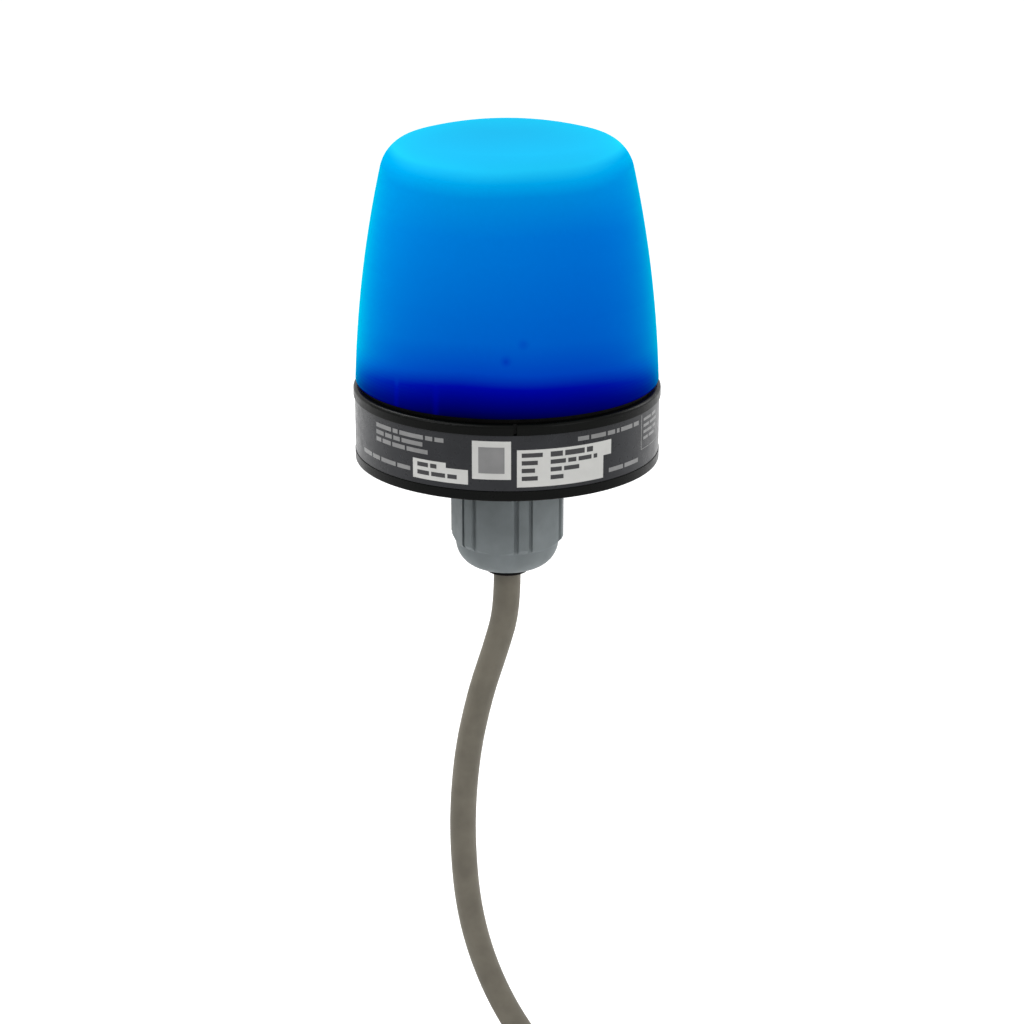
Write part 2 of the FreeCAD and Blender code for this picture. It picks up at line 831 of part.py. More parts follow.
def lying_ring(inner, outer, half_width, centre):
    """Ring about an axis along Y, through a centre."""
    front = Vector(centre.x, -half_width, centre.z)
    along = Vector(0, 1, 0)
    whole = Part.makeCylinder(outer, 2 * half_width, front, along)
    return whole.cut(Part.makeCylinder(inner, 2 * half_width, front, along))


def make_cable_entry():
    """The stretch of cable that the gland holds."""
    return rod(cable_radius, seal_low, jacket_end)


def coil_half_width():
    """Half the coil's width along its axis."""
    middle, heading = coil_centre()
    turns = coil_turns + heading / (2 * math.pi)
    return turns * coil_pitch / 2 + cable_radius + coil_slack


def make_cable_coil():
    """Outer shape of the tied coil."""
    middle, heading = coil_centre()
    reach = cable_radius + coil_slack
    return lying_ring(coil_radius - reach, coil_radius + reach, coil_half_width(), middle)


def make_cable(coil):
    """Free tube from the seal to the coil, ending on the coil's skin."""
    wire = soft_wire(lead_points())
    tube = tube_along(wire, cable_radius)
    share = tube.Volume / (math.pi * cable_radius ** 2 * wire.Length)
    radii = [round(edge.Curve.Radius, 1) for edge in wire.Edges if hasattr(edge.Curve, "Radius")]
    print("lead route: length %.1f, volume against section times length %.4f" % (wire.Length, share))
    print("lead route: radii", radii)
    return tube.cut(coil)


def end_place():
    """Where the jacket leaves the coil, heading straight down."""
    middle, heading = coil_centre()
    across = coil_half_width() - cable_radius - coil_slack
    return middle.x + coil_radius, across, middle.z


def make_cable_end(coil):
    """Last stretch of jacket, hanging from the coil."""
    x, y, z = end_place()
    return rod(cable_radius, z - end_drop, z, (x, y)).cut(coil)


def make_cable_tie():
    """Strap round the coil's turns, with its head outside."""
    middle, heading = coil_centre()
    reach = cable_radius + coil_slack + tie_gap
    half = coil_half_width() + tie_gap
    inside = block((coil_radius - reach, -half, -tie_width / 2), (coil_radius + reach, half, tie_width / 2))
    skin = tie_thickness
    outside = block((coil_radius - reach - skin, -half - skin, -tie_width / 2),
                    (coil_radius + reach + skin, half + skin, tie_width / 2))
    head = block((coil_radius + reach, -tie_head / 2, -tie_head / 2),
                 (coil_radius + reach + tie_head_height, tie_head / 2, tie_head / 2))
    strap = fused(outside, [head]).cut(inside)
    strap.rotate(ORIGIN, Vector(0, 1, 0), -tie_angle)
    strap.translate(middle)
    return strap


def make_tails():
    """The cores past the jacket, parting a little as they hang, each with a bare tinned tip."""
    x, y, z = end_place()
    top = z - end_drop
    tails = []
    tips = []
    for place in range(core_count):
        dx, dy = core_start(place)
        straight = tail_length / 3
        start = Vector(x + dx, y + dy, top)
        bend = start - AXIS * straight
        end = Vector(x + dx * tail_spread, y + dy * tail_spread, top - tail_length)
        tails.append(tube_along(soft_wire([start, bend, end]), core_radius))
        tips.append(Part.makeCylinder(tip_radius, tip_length, end, unit(end - bend)))
    return tails, Part.makeCompound(tips)


def main():
    """Build every piece and write one file for each."""
    coil = make_cable_coil()
    tails, tips = make_tails()
    pieces = {
        "base_housing": make_base_housing(),
        "label_band": make_label_band(),
        "globe_gasket": make_globe_gasket(),
        "globe": make_globe(),
        "led_board": make_led_board(),
        "leds": make_leds(),
        "chip_resistors": make_chip_resistors(),
        "capacitors": make_capacitors(),
        "choke": make_choke(),
        "driver_chip": make_driver_chip(),
        "diodes": make_diodes(),
        "board_screws": make_board_screws(),
        "mounting_inserts": make_mounting_inserts(),
        "header_shell": make_header_shell(),
        "header_pins": make_header_pins(),
        "lead_plug": make_lead_plug(),
        "gland_washer": make_gland_washer(),
        "gland_body": make_gland_body(),
        "gland_locknut": make_gland_locknut(),
        "gland_seal": make_gland_seal(),
        "slip_washer": make_slip_washer(),
        "gland_nut": make_gland_nut(),
        "cable_entry": make_cable_entry(),
        "cable": make_cable(coil),
        "cable_coil": coil,
        "cable_end": make_cable_end(coil),
        "cable_tie": make_cable_tie(),
        "tinned_tips": tips,
    }
    for name, core, tail in zip(core_names, make_inner_cores(), tails):
        pieces["core_" + name] = core
        pieces["tail_" + name] = tail
    os.makedirs("parts", exist_ok=True)
    for name, shape in pieces.items():
        if not shape.isValid():
            print("not valid:", name)
        shape.exportStep("parts/%s.step" % name)
    print("wrote", len(pieces), "pieces")


main()
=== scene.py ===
# %% [markdown]
# # Signal beacon
# This lesson dresses a signal beacon: a blue globe lit from inside, a black base with a label band, a
# ribbed cable gland and a grey lead. The CAD model already holds every solid in its place, in metres, with
# the origin in the middle of the base's underside and +Z up. Blender adds the finish of each surface, a
# softer nut and globe, the printed label fields, and the lead as one curve.

# %% Load the imported model
import json
import math

import bmesh
import bpy
from mathutils import Matrix, Vector

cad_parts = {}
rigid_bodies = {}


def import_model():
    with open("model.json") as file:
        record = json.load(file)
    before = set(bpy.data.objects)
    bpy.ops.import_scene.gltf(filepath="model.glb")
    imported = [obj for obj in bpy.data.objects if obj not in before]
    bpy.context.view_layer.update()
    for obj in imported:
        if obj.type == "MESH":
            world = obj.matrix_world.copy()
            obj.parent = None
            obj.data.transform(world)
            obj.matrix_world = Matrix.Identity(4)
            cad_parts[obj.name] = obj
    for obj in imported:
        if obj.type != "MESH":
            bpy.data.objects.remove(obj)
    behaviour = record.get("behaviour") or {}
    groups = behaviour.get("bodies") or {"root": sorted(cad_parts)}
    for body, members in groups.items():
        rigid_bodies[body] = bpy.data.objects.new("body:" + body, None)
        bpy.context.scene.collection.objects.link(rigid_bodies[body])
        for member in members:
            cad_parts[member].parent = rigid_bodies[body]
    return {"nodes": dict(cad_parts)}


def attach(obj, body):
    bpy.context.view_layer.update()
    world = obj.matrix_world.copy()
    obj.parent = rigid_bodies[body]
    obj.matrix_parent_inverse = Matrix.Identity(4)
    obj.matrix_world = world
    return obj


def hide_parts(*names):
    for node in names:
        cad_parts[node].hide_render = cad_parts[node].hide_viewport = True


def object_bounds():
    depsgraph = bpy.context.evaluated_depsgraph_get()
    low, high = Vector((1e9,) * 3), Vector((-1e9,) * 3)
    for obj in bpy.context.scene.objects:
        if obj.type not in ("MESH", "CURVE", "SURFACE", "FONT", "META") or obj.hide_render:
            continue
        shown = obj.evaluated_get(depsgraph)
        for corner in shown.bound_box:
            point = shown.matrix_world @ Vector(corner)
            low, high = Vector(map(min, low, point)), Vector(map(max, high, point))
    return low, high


for leftover in list(bpy.data.objects):
    bpy.data.objects.remove(leftover)
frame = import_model()
cad_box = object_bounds()
nodes = frame["nodes"]
MM = 0.001

# %% [markdown]
# ## The camera
# The picture was taken with a long lens from a little above. The distance, height and lens follow from
# how round the base's rim and the globe's foot look, so the camera can simply be aimed at a point below
# the base. `to_track_quat` turns the direction back to the camera into its rotation.

# %% Camera at the photograph's angle
camera_distance = 650 * MM
camera_height = math.radians(19.03)
camera_target = Vector((1.32, 0, -16.93)) * MM
camera_back = Vector((0, -math.cos(camera_height), math.sin(camera_height)))
sensor_width = 36
lens_length = 83.17

camera_data = bpy.data.cameras.new("photo_camera")
camera_data.sensor_width = sensor_width
camera_data.lens = lens_length
camera = bpy.data.objects.new("photo_camera", camera_data)
camera.location = camera_target + camera_back * camera_distance
camera.rotation_euler = camera_back.to_track_quat("Z", "Y").to_euler()
bpy.context.scene.collection.objects.link(camera)
bpy.context.scene.camera = camera
bpy.context.scene.view_settings.view_transform = "Standard"
print("camera at", [round(value, 3) for value in camera.location])

# %% [markdown]
# ## Finishes
# Every surface here is moulded plastic, rubber, film or metal. One helper starts a material and gives
# its shader and its object coordinates, which stay with the piece when it moves. Two more give patterns:
# a noise with lumps of a real size in metres, and coordinates that are stretched along an axis, for
# marks that run in one direction.

# %% Helpers for patterns
def new_finish(name):
    """A node material: its tree, its shader and the coordinates that its patterns read."""
    finish = bpy.data.materials.new(name)
    finish.use_nodes = True
    tree = finish.node_tree
    where = tree.nodes.new("ShaderNodeTexCoord")
    return finish, tree, tree.nodes["Principled BSDF"], where.outputs["Object"]


def speckle(tree, where, size, detail=3):
    """Noise with lumps of a given size."""
    noise = tree.nodes.new("ShaderNodeTexNoise")
    noise.inputs["Scale"].default_value = 1 / size
    noise.inputs["Detail"].default_value = detail
    tree.links.new(where, noise.inputs["Vector"])
    return noise.outputs["Fac"]


def stretched(tree, where, scale):
    """Coordinates scaled differently along each axis, for brushed or drawn surfaces."""
    mapping = tree.nodes.new("ShaderNodeMapping")
    mapping.inputs["Scale"].default_value = scale
    tree.links.new(where, mapping.inputs["Vector"])
    return mapping.outputs["Vector"]


print("pattern helpers:", speckle.__name__, stretched.__name__)

# %% [markdown]
# A pattern is a number at every point. Four helpers turn it into what a shader takes: a colour from a
# ramp, a number in another range, a sum or product of two numbers, or fine relief of a real depth.

# %% Helpers for colours, numbers and relief
def shades(tree, amount, stops, smooth="LINEAR"):
    """Colour ramp through (place, colour) stops."""
    ramp = tree.nodes.new("ShaderNodeValToRGB")
    ramp.color_ramp.interpolation = smooth
    elements = ramp.color_ramp.elements
    while len(elements) < len(stops):
        elements.new(0.5)
    for element, (place, colour) in zip(elements, stops):
        element.position = place
        element.color = (*colour, 1)
    tree.links.new(amount, ramp.inputs["Fac"])
    return ramp.outputs["Color"]


def spread(tree, amount, low, high, start=0.3, end=0.7):
    """A number that goes from low to high while the amount goes from start to end."""
    span = tree.nodes.new("ShaderNodeMapRange")
    for socket, value in (("From Min", start), ("From Max", end), ("To Min", low), ("To Max", high)):
        span.inputs[socket].default_value = value
    tree.links.new(amount, span.inputs["Value"])
    return span.outputs["Result"]


def reckon(tree, operation, first, second):
    """Math node on two sockets or numbers."""
    node = tree.nodes.new("ShaderNodeMath")
    node.operation = operation
    for place, value in enumerate((first, second)):
        if isinstance(value, (int, float)):
            node.inputs[place].default_value = value
        else:
            tree.links.new(value, node.inputs[place])
    return node.outputs["Value"]


def add_bump(tree, shader, height, depth):
    """Fine relief of a real depth."""
    bump = tree.nodes.new("ShaderNodeBump")
    bump.inputs["Strength"].default_value = 1
    bump.inputs["Distance"].default_value = depth
    tree.links.new(height, bump.inputs["Height"])
    tree.links.new(bump.outputs["Normal"], shader.inputs["Normal"])


print("shader helpers:", shades.__name__, spread.__name__, reckon.__name__, add_bump.__name__)

# %% [markdown]
# Two families of finish cover nearly everything. Moulded plastic and rubber have a cloudy colour, an
# uneven gloss and a fine grain. Metal has fine marks along one direction, which change its colour, its
# gloss and its surface together. A finish is then one line that says what is special about it.

# %% Moulded and metal finishes
cloud_size = 7 * MM
cloud_ends = (0.35, 0.65)
wear_size = 2.5 * MM
wear_change = 0.06
grain_detail = 2
mark_size = 0.8 * MM
mark_detail = 4
mark_ends = (0.3, 0.7)
mark_dark = 0.82
mark_rougher = 0.08
mark_smoother = 0.05
mark_depth = 0.01 * MM


def moulded(name, shade, roughness, grain=0.5 * MM, depth=0.015 * MM, mottle=0.12, specular=0.5):
    """Moulded plastic or rubber: cloudy colour, uneven gloss and a fine grain."""
    finish, tree, shader, where = new_finish(name)
    dark = [channel * (1 - mottle) for channel in shade]
    light = [channel * (1 + mottle) for channel in shade]
    cloud = shades(tree, speckle(tree, where, cloud_size), list(zip(cloud_ends, (dark, light))))
    tree.links.new(cloud, shader.inputs["Base Color"])
    wear = speckle(tree, where, wear_size)
    gloss = spread(tree, wear, roughness - wear_change, roughness + wear_change)
    tree.links.new(gloss, shader.inputs["Roughness"])
    add_bump(tree, shader, speckle(tree, where, grain, grain_detail), depth)
    shader.inputs["Specular IOR Level"].default_value = specular
    return finish


def metal(name, shade, roughness, grain=(1, 1, 12)):
    """Bare or plated metal with fine marks along one direction."""
    finish, tree, shader, where = new_finish(name)
    dark = [channel * mark_dark for channel in shade]
    marks = speckle(tree, stretched(tree, where, grain), mark_size, mark_detail)
    tree.links.new(shades(tree, marks, list(zip(mark_ends, (dark, shade)))), shader.inputs["Base Color"])
    gloss = spread(tree, marks, roughness + mark_rougher, roughness - mark_smoother)
    tree.links.new(gloss, shader.inputs["Roughness"])
    shader.inputs["Metallic"].default_value = 1
    add_bump(tree, shader, marks, mark_depth)
    return finish


def wear_finish(finish, *names):
    """Put a finish on CAD nodes."""
    for name in names:
        nodes[name].material_slots[0].material = finish


print("families of finish:", moulded.__name__, metal.__name__)

# %% [markdown]
# ## The lead
# The lead leaves the rubber seal straight down, leans to the left as in the picture, and swings back
# below it into a small tied coil that takes up the rest of its length. A cord is a curve, not a chain of
# cylinders, so it begins as points: a route for the stretch that hangs, and then the coil's turns, which
# are points on a helix that starts in the direction in which the route ends.

# %% Points of the lead
cable_radius = 3.75 * MM
lead_route = [
    (0.0, 0.0, -0.0336),
    (0.0, 0.0, -0.045),
    (-0.003, 0.0, -0.0565),
    (-0.0078, 0.0, -0.0715),
    (-0.0119, 0.0, -0.092),
    (-0.0132, -0.0004, -0.117),
    (-0.0106, -0.0018, -0.144),
    (-0.0018, -0.0042, -0.1685),
    (0.012, -0.0065, -0.189),
    (0.0276, -0.0082, -0.205),
]
coil_radius = 41 * MM
coil_turns = 2
coil_pitch = 7.71 * MM
points_per_turn = 20
end_drop = 26 * MM
whole_turn = 2 * math.pi

last_run = Vector(lead_route[-1]) - Vector(lead_route[-2])
heading = math.atan2(last_run.x, -last_run.z)
coil_centre = Vector(lead_route[-1]) - coil_radius * Vector((math.cos(heading), 0, math.sin(heading)))
coil_sweep = heading + coil_turns * whole_turn
coil_width = coil_sweep / whole_turn * coil_pitch
steps = round(coil_sweep / whole_turn * points_per_turn)
control_radius = coil_radius / math.cos(coil_sweep / steps / 2)

lead_points = list(lead_route)
for step in range(1, steps + 1):
    angle = heading - coil_sweep * step / steps
    across = coil_width * (step / steps - 0.5)
    lead_points.append((coil_centre.x + control_radius * math.cos(angle), across,
                        coil_centre.z + control_radius * math.sin(angle)))
end_x = coil_centre.x + coil_radius
end_y = coil_width / 2
lead_points.append((end_x, end_y, coil_centre.z - end_drop / 2))
lead_points.append((end_x, end_y, coil_centre.z - end_drop))
print("lead points:", len(lead_points), "coil middle", coil_centre)

# %% [markdown]
# The points become the control points of one NURBS spline, which rounds them off as a stiff jacket
# would, and the curve's bevel gives the jacket's thickness. The order is set after the points, or the
# spline would stay straight.

# %% Lead as one smooth curve
lead_curve = bpy.data.curves.new("lead", "CURVE")
lead_curve.dimensions = "3D"
lead_curve.bevel_depth = cable_radius
lead_curve.bevel_resolution = 7
lead_curve.resolution_u = 10
lead_curve.use_fill_caps = True
spline = lead_curve.splines.new("NURBS")
spline.points.add(len(lead_points) - 1)
for point, place in zip(spline.points, lead_points):
    point.co = (*place, 1)
spline.order_u = 3
spline.use_endpoint_u = True
lead = bpy.data.objects.new("lead", lead_curve)
bpy.context.scene.collection.objects.link(lead)

# %% [markdown]
# The jacket is matt grey PVC with a warm tint. It picks up dust and handling marks, so its colour and
# gloss are uneven at the size of a fingertip, and a very fine grain gives it a soft bump.

# %% Jacket finish
jacket_grey = moulded("jacket_grey", (0.153, 0.14, 0.112), 0.52, grain=0.35 * MM, depth=0.02 * MM,
                      mottle=0.1, specular=0.12)
lead_curve.materials.append(jacket_grey)
wear_finish(jacket_grey, "cable_entry")
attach(lead, "base")
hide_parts("cable", "cable_coil", "cable_end")
print("jacket finish:", jacket_grey.name)

# %% [markdown]
# ## The coil's tie
# A nylon strap goes once round the three strands and back through its own head. The strap is a loop of
# four points with its corners rounded by a vertex bevel, extruded to its width and given its thickness.
# A negative thickness grows the wall outwards and leaves its faces looking in, so they are reversed. The
# tie is made beside the axis, where it is easy to place, and turned into the coil at the end.

# %% Strap round the strands
WELD = 1e-6
strap_half_width = 2.4 * MM
strap_thick = 1.1 * MM
strap_reach = 4.0 * MM
strap_half = 11.75 * MM
strap_corner = 3.2 * MM
strap_corners = ((-1, -1), (1, -1), (1, 1), (-1, 1))

tie_mesh = bmesh.new()
loop = [tie_mesh.verts.new((coil_radius + side * strap_reach, end * strap_half, -strap_half_width))
        for side, end in strap_corners]
tie_mesh.faces.new(loop)
bmesh.ops.bevel(tie_mesh, geom=loop, offset=strap_corner, segments=6, profile=0.5,
                affect="VERTICES", material=-1)
strap_face = tie_mesh.faces[:]
raised = bmesh.ops.extrude_edge_only(tie_mesh, edges=tie_mesh.edges[:])
raised_verts = [part for part in raised["geom"] if isinstance(part, bmesh.types.BMVert)]
bmesh.ops.translate(tie_mesh, vec=(0, 0, 2 * strap_half_width), verts=raised_verts)
bmesh.ops.delete(tie_mesh, geom=strap_face, context="FACES_ONLY")
bmesh.ops.recalc_face_normals(tie_mesh, faces=tie_mesh.faces)
bmesh.ops.solidify(tie_mesh, geom=tie_mesh.faces[:], thickness=-strap_thick)
bmesh.ops.reverse_faces(tie_mesh, faces=tie_mesh.faces[:])
print("strap faces:", len(tie_mesh.faces))

# %% [markdown]
# The head and the strap's cut end are blocks with rounded edges in the same mesh. A helper then turns
# any finished bmesh into an object at the origin: smooth, except at edges that are really sharp.

# %% Head, cut end and the finished tie
head_size = Vector((4.4, 6.4, 6.2)) * MM
head_round = 0.7 * MM
head_stand = 1.6 * MM
head_place = Vector((coil_radius + strap_reach + strap_thick + head_stand, 0, 0))
cut_end_size = Vector((1.1, 3.6, 4.4)) * MM
cut_end_round = 0.3 * MM
cut_end_place = head_place + Vector((0.2, 4.4, 0)) * MM
tie_angle = math.radians(22)


def add_block(mesh, size, place, rounding, segments):
    """Block with rounded edges, from a cube."""
    block = bmesh.ops.create_cube(mesh, size=1)["verts"]
    bmesh.ops.scale(mesh, vec=size, verts=block)
    bmesh.ops.translate(mesh, vec=place, verts=block)
    edges = list(dict.fromkeys(edge for vert in block for edge in vert.link_edges))
    bmesh.ops.bevel(mesh, geom=edges, offset=rounding, segments=segments, profile=0.5,
                    affect="EDGES", material=-1)


def finish_mesh(name, mesh, smooth_angle=35):
    """Object from a bmesh, at the origin, smooth except at sharp edges."""
    bmesh.ops.remove_doubles(mesh, verts=mesh.verts, dist=WELD)
    data = bpy.data.meshes.new(name)
    for face in mesh.faces:
        face.smooth = True
    for edge in mesh.edges:
        if len(edge.link_faces) == 2:
            edge.smooth = edge.calc_face_angle() < math.radians(smooth_angle)
    mesh.to_mesh(data)
    mesh.free()
    piece = bpy.data.objects.new(name, data)
    bpy.context.scene.collection.objects.link(piece)
    return piece


add_block(tie_mesh, head_size, head_place, head_round, segments=3)
add_block(tie_mesh, cut_end_size, cut_end_place, cut_end_round, segments=2)
turn_to_tie = Matrix.Rotation(-tie_angle, 3, "Y")
bmesh.ops.rotate(tie_mesh, cent=(0, 0, 0), matrix=turn_to_tie, verts=tie_mesh.verts)
bmesh.ops.translate(tie_mesh, vec=(coil_centre.x, 0, coil_centre.z), verts=tie_mesh.verts)
tie = finish_mesh("coil_tie", tie_mesh)
tie.data.materials.append(moulded("tie_nylon", (0.016, 0.016, 0.017), 0.42, mottle=0.2))
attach(tie, "base")
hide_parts("cable_tie")
print("tie faces:", len(tie.data.polygons))

# %% [markdown]
# The lead ends bare: five cores hang out of the jacket, each with a tinned tip for a terminal. Their CAD
# tubes are right as they are, so they only get the gloss of PVC insulation.

# %% Cores and tips
core_shades = {
    "white": (0.72, 0.72, 0.69),
    "blue": (0.015, 0.07, 0.36),
    "red": (0.42, 0.016, 0.014),
    "green": (0.016, 0.22, 0.05),
    "black": (0.012, 0.012, 0.012),
}
for colour, shade in core_shades.items():
    wear_finish(moulded("core_" + colour, shade, 0.36, mottle=0.08), "core_" + colour, "tail_" + colour)
wear_finish(metal("tinned_copper", (0.52, 0.51, 0.48), 0.3), "tinned_tips", "header_pins")
print("cores:", ", ".join(core_shades))

# %% [markdown]
# ## The globe
# The globe is one moulded shell. Its outline is three arcs that run into each other: a slow side, a
# tight shoulder and a low crown. The side leans in a little at the foot, and the crown's middle is on
# the axis. The shoulder's arc touches both, so its centre lies where two circles about their centres
# cross, each smaller than its arc by the shoulder's radius.

# %% Centres of the globe's arcs
globe_radius = 40.8 * MM
globe_foot = 21.75 * MM
globe_top = 90.1 * MM
globe_wall = 2.2 * MM
globe_lean = math.radians(2.2)
side_radius = 310 * MM
shoulder_radius = 10.3 * MM
crown_radius = 96 * MM

side_centre = Vector((globe_radius - side_radius * math.cos(globe_lean), 0,
                      globe_foot - side_radius * math.sin(globe_lean)))
crown_centre = Vector((0, 0, globe_top - crown_radius))
apart = side_centre - crown_centre
crown_reach = crown_radius - shoulder_radius
side_reach = side_radius - shoulder_radius
along = (crown_reach ** 2 - side_reach ** 2 + apart.length_squared) / (2 * apart.length)
sideways = Vector((apart.z, 0, -apart.x)).normalized() * math.sqrt(crown_reach ** 2 - along ** 2)
crossings = [crown_centre + apart.normalized() * along + side * sideways for side in (1, -1)]
shoulder_centre = max(crossings, key=lambda crossing: crossing.x)
print("shoulder's centre", shoulder_centre)

# %% [markdown]
# Each arc is drawn by spinning a single point about the arc's centre, and the whole outline, outside and
# inside, is then spun about the beacon's axis. That keeps the wall even and the surface round.

# %% Globe shell by spinning
side_steps = 60
shoulder_steps = 14
crown_steps = 24
globe_steps = 180


def height_angle(direction):
    """Angle of a direction above the level, in the XZ plane."""
    return math.atan2(direction.z, direction.x)


def draw_arc(mesh, start, centre, end_angle, count):
    """Spin a point about a centre up to an angle, and return the last point."""
    turn = end_angle - height_angle(start.co - centre)
    spun = bmesh.ops.spin(mesh, geom=[start], cent=centre, axis=(0, -1, 0), angle=turn, steps=count)
    return next(part for part in spun["geom_last"] if isinstance(part, bmesh.types.BMVert))


def draw_globe_line(mesh, inset):
    """Half outline from the foot to the crown, moved in by the inset."""
    reach = side_radius - inset
    rise = globe_foot - side_centre.z
    foot = mesh.verts.new((side_centre.x + math.sqrt(reach ** 2 - rise ** 2), 0, globe_foot))
    point = draw_arc(mesh, foot, side_centre, height_angle(shoulder_centre - side_centre), side_steps)
    point = draw_arc(mesh, point, shoulder_centre, height_angle(shoulder_centre - crown_centre),
                     shoulder_steps)
    draw_arc(mesh, point, crown_centre, math.pi / 2, crown_steps)
    return foot


globe_mesh = bmesh.new()
outer_foot = draw_globe_line(globe_mesh, 0)
inner_foot = draw_globe_line(globe_mesh, globe_wall)
inner_foot_radius = inner_foot.co.x
globe_mesh.edges.new((outer_foot, inner_foot))
bmesh.ops.spin(globe_mesh, geom=globe_mesh.verts[:] + globe_mesh.edges[:], cent=(0, 0, 0), axis=(0, 0, 1),
               angle=whole_turn, steps=globe_steps, use_merge=True)
bmesh.ops.remove_doubles(globe_mesh, verts=globe_mesh.verts, dist=WELD)
bmesh.ops.recalc_face_normals(globe_mesh, faces=globe_mesh.faces)
print("globe shell faces:", len(globe_mesh.faces))

# %% [markdown]
# The foot's outer edge is rounded with a bevel on its ring of edges. Three bayonet lugs stand inside the
# foot, a third of a turn apart. Each starts as a small upright rectangle that reaches a little into the
# wall, and a spin through 18 degrees makes it solid.

# %% Foot round and bayonet lugs
foot_round = 0.5 * MM
foot_ring = [edge for edge in globe_mesh.edges
             if all(abs(vert.co.z - globe_foot) < WELD and vert.co.xy.length > globe_radius - globe_wall / 2
                    for vert in edge.verts)]
bmesh.ops.bevel(globe_mesh, geom=foot_ring, offset=foot_round, segments=4, profile=0.5,
                affect="EDGES", material=-1)

lug_count = 3
lug_pitch = whole_turn / lug_count
lug_start = math.radians(225.63)
lug_span = math.radians(18)
lug_steps = 10
lug_bite = 0.4 * MM
lug_inner = 36.7 * MM
lug_outer = inner_foot_radius + lug_bite
lug_low = 23.1 * MM
lug_high = 25.3 * MM
lug_corners = ((lug_inner, lug_low), (lug_outer, lug_low), (lug_outer, lug_high), (lug_inner, lug_high))
for place in range(lug_count):
    start = lug_start + place * lug_pitch
    around = Vector((math.cos(start), math.sin(start), 0))
    corners = [globe_mesh.verts.new(around * reach + Vector((0, 0, level))) for reach, level in lug_corners]
    end_face = globe_mesh.faces.new(corners)
    bmesh.ops.spin(globe_mesh, geom=[end_face] + end_face.edges[:] + corners, cent=(0, 0, 0),
                   axis=(0, 0, 1), angle=lug_span, steps=lug_steps)
bmesh.ops.recalc_face_normals(globe_mesh, faces=globe_mesh.faces)
globe = finish_mesh("lit_globe", globe_mesh)
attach(globe, "globe")
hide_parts("globe")
print("globe faces:", len(globe.data.polygons))

# %% [markdown]
# ### Light in the globe
# The lamps shine up from the base, so the crown glows light blue, the sides are a full blue, and the foot,
# beside and below the lamps, is nearly navy. That light belongs to the object, so it is a colour ramp over
# the height, and what is uneven in it is a change of the height that the ramp reads. The dark foot reaches
# higher at the front and back, and its lower edge goes almost black there: that is painted shade, made by
# taking some height off, by a power of Y. The two ends of the shoulder are deeper than its front, and a
# slow cloud keeps the whole from being too even.

# %% Height that the glow follows
foot_shade_drop = 5.2 * MM
foot_shade_power = 1.2
foot_shade_fade = (34 * MM, 60 * MM)
shoulder_drop = 3.2 * MM
shoulder_drop_start = (70 * MM, 79 * MM)
shoulder_drop_end = (83 * MM, 87 * MM)
shoulder_ends_fade = (8 * MM, 32 * MM)
glow_cloud_size = 40 * MM
glow_cloud_change = 0.7 * MM


def split_axes(tree, where):
    """X, Y and Z of a place."""
    axes = tree.nodes.new("ShaderNodeSeparateXYZ")
    tree.links.new(where, axes.inputs["Vector"])
    return [axes.outputs[name] for name in "XYZ"]


def glow_height(tree, where):
    """Height in the globe, less where painted shade deepens the foot at the front and back, and where the
    shoulder is deeper in colour.
    """
    _, y, z = split_axes(tree, where)
    # Painted shade: at the front and back the foot's height is taken down, so its dark reaches higher
    # there.
    off_middle = reckon(tree, "ABSOLUTE", y, 0)
    to_front = reckon(tree, "POWER", reckon(tree, "DIVIDE", off_middle, globe_radius), foot_shade_power)
    near_foot = spread(tree, z, foot_shade_drop, 0, *foot_shade_fade)
    height = reckon(tree, "SUBTRACT", z, reckon(tree, "MULTIPLY", to_front, near_foot))
    at_ends = spread(tree, off_middle, 1, 0, *shoulder_ends_fade)
    near_shoulder = reckon(tree, "MINIMUM", spread(tree, z, 0, shoulder_drop, *shoulder_drop_start),
                           spread(tree, z, shoulder_drop, 0, *shoulder_drop_end))
    height = reckon(tree, "SUBTRACT", height, reckon(tree, "MULTIPLY", at_ends, near_shoulder))
    cloud = speckle(tree, where, glow_cloud_size, detail=1)
    cloud = spread(tree, cloud, -glow_cloud_change, glow_cloud_change)
    return reckon(tree, "ADD", height, cloud)


print("the navy foot is %.1f mm higher at the front" % (foot_shade_drop / MM))

# %% [markdown]
# The two ends of each lug show through the wall as a lighter stripe, so there the height gets more. The
# angle about the axis, folded onto one lug with a modulo, tells how far a point is from a stripe. Two faint
# darker specks, low on the front, take some height off near two points.

# %% Lug stripes and specks
stripe_rise = 1.6 * MM
stripe_fade = (26 * MM, 30 * MM)
stripe_edge = (math.radians(0.4), math.radians(1.8))
specks = [Vector((4.2, -39.5, 41.2)) * MM, Vector((-0.2, -40.2, 36.9)) * MM]
speck_drop = 4.5 * MM
speck_edge = (0.5 * MM, 1.8 * MM)


def add_stripes(tree, where, height):
    """Height with more at the two ends of each lug."""
    x, y, z = split_axes(tree, where)
    past_lug = reckon(tree, "SUBTRACT", reckon(tree, "ARCTAN2", y, x), lug_start - lug_pitch / 2)
    past_lug = reckon(tree, "FLOORED_MODULO", past_lug, lug_pitch)
    at_foot = spread(tree, z, stripe_rise, 0, *stripe_fade)
    for lug_end in (lug_pitch / 2, lug_pitch / 2 + lug_span):
        off_stripe = reckon(tree, "ABSOLUTE", reckon(tree, "SUBTRACT", past_lug, lug_end), 0)
        stripe = spread(tree, off_stripe, 1, 0, *stripe_edge)
        height = reckon(tree, "ADD", height, reckon(tree, "MULTIPLY", stripe, at_foot))
    return height


def take_off_specks(tree, where, height):
    """Height with less at the specks."""
    for speck in specks:
        gap = tree.nodes.new("ShaderNodeVectorMath")
        gap.operation = "DISTANCE"
        gap.inputs[1].default_value = speck
        tree.links.new(where, gap.inputs[0])
        shade = spread(tree, gap.outputs["Value"], speck_drop, 0, *speck_edge)
        height = reckon(tree, "SUBTRACT", height, shade)
    return height


print("stripes:", 2 * lug_count, "specks:", len(specks))
